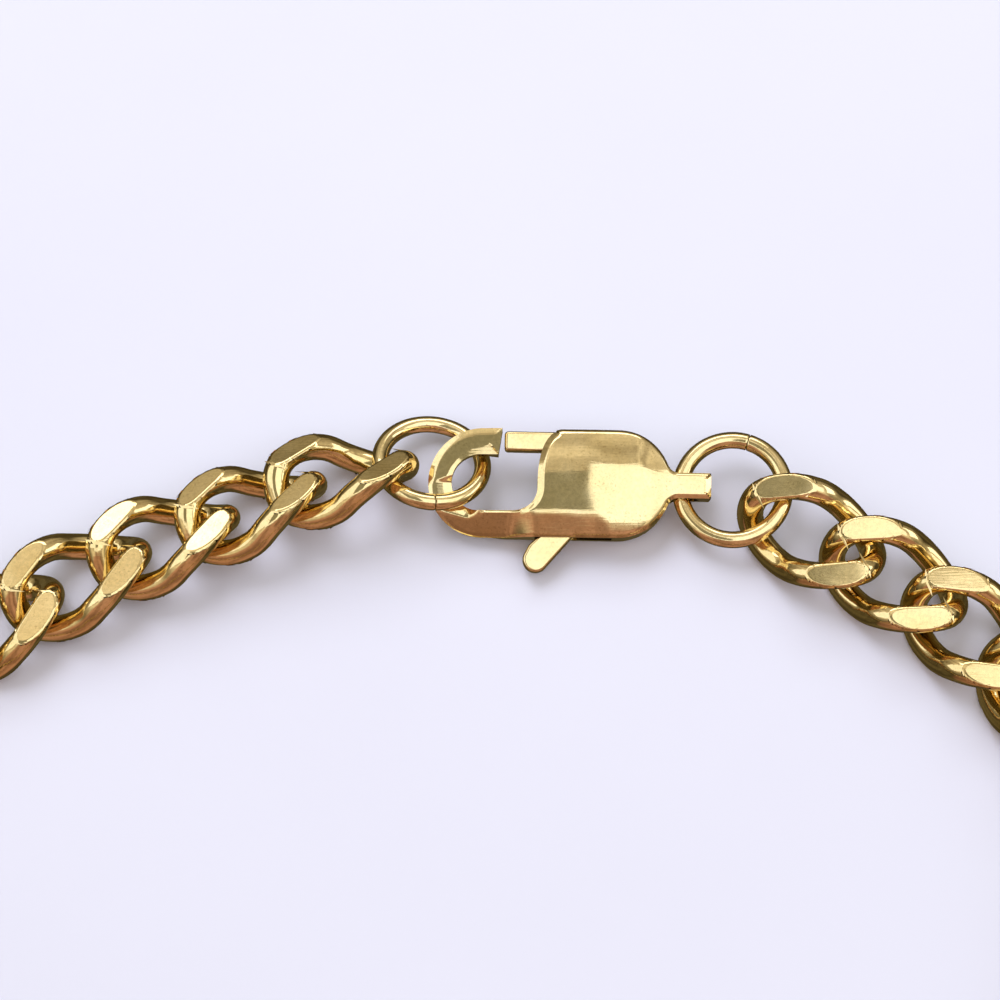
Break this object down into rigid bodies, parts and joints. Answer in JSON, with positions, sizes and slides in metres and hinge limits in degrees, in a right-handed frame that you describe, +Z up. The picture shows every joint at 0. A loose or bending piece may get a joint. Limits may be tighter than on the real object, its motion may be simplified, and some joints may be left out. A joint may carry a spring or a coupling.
{
  "type": "link bracelet",
  "caption": "Curb-link chain bracelet with planed flat links, round jump rings and a sprung lobster-claw clasp, lying closed as a flat loop.",
  "frame": {"origin": "middle of the closed loop, on the surface that it lies on", "axes": "+X across the loop along the clasp, from its hook to its tail; +Y away from the wearer's view towards the clasp; +Z up"},
  "size_m": [0.0754, 0.0584, 0.0046],
  "materials": {
    "link_gold": "mirror-polished yellow gold plate with fine scratches, planed faces slightly brushed",
    "ring_gold": "mirror-polished pale gold plate",
    "clasp_gold": "mirror-polished pale gold plate with fine scratches and specks",
    "pin_gold": "satin gold plate"
  },
  "bodies": {
    "bracelet": {"link_01": "link_gold", "link_02": "link_gold", "link_03": "link_gold", "link_04": "link_gold", "link_05": "link_gold", "link_06": "link_gold", "link_07": "link_gold", "link_08": "link_gold", "link_09": "link_gold", "link_10": "link_gold", "link_11": "link_gold", "link_12": "link_gold", "link_13": "link_gold", "link_14": "link_gold", "link_15": "link_gold", "link_16": "link_gold", "link_17": "link_gold", "link_18": "link_gold", "link_19": "link_gold", "link_20": "link_gold", "link_21": "link_gold", "link_22": "link_gold", "link_23": "link_gold", "link_24": "link_gold", "link_25": "link_gold", "link_26": "link_gold", "link_27": "link_gold", "link_28": "link_gold", "link_29": "link_gold", "link_30": "link_gold", "link_31": "link_gold", "link_32": "link_gold", "link_33": "link_gold", "link_34": "link_gold", "hook_ring": "ring_gold", "tail_ring": "ring_gold", "clasp_body": "clasp_gold", "lever_pin": "pin_gold"},
    "lever": {"clasp_lever": "clasp_gold"}
  },
  "joints": [
    {"name": "lever_hinge", "type": "hinge", "parent": "bracelet", "child": "lever", "pos_m": [0.00859, 0.02561, 0.00222], "axis": [-0.0054, -0.2588, 0.9659], "range_deg": [0, 20], "stiffness_Nm_per_rad": 0.004, "springref_deg": -28.65}
  ]
}
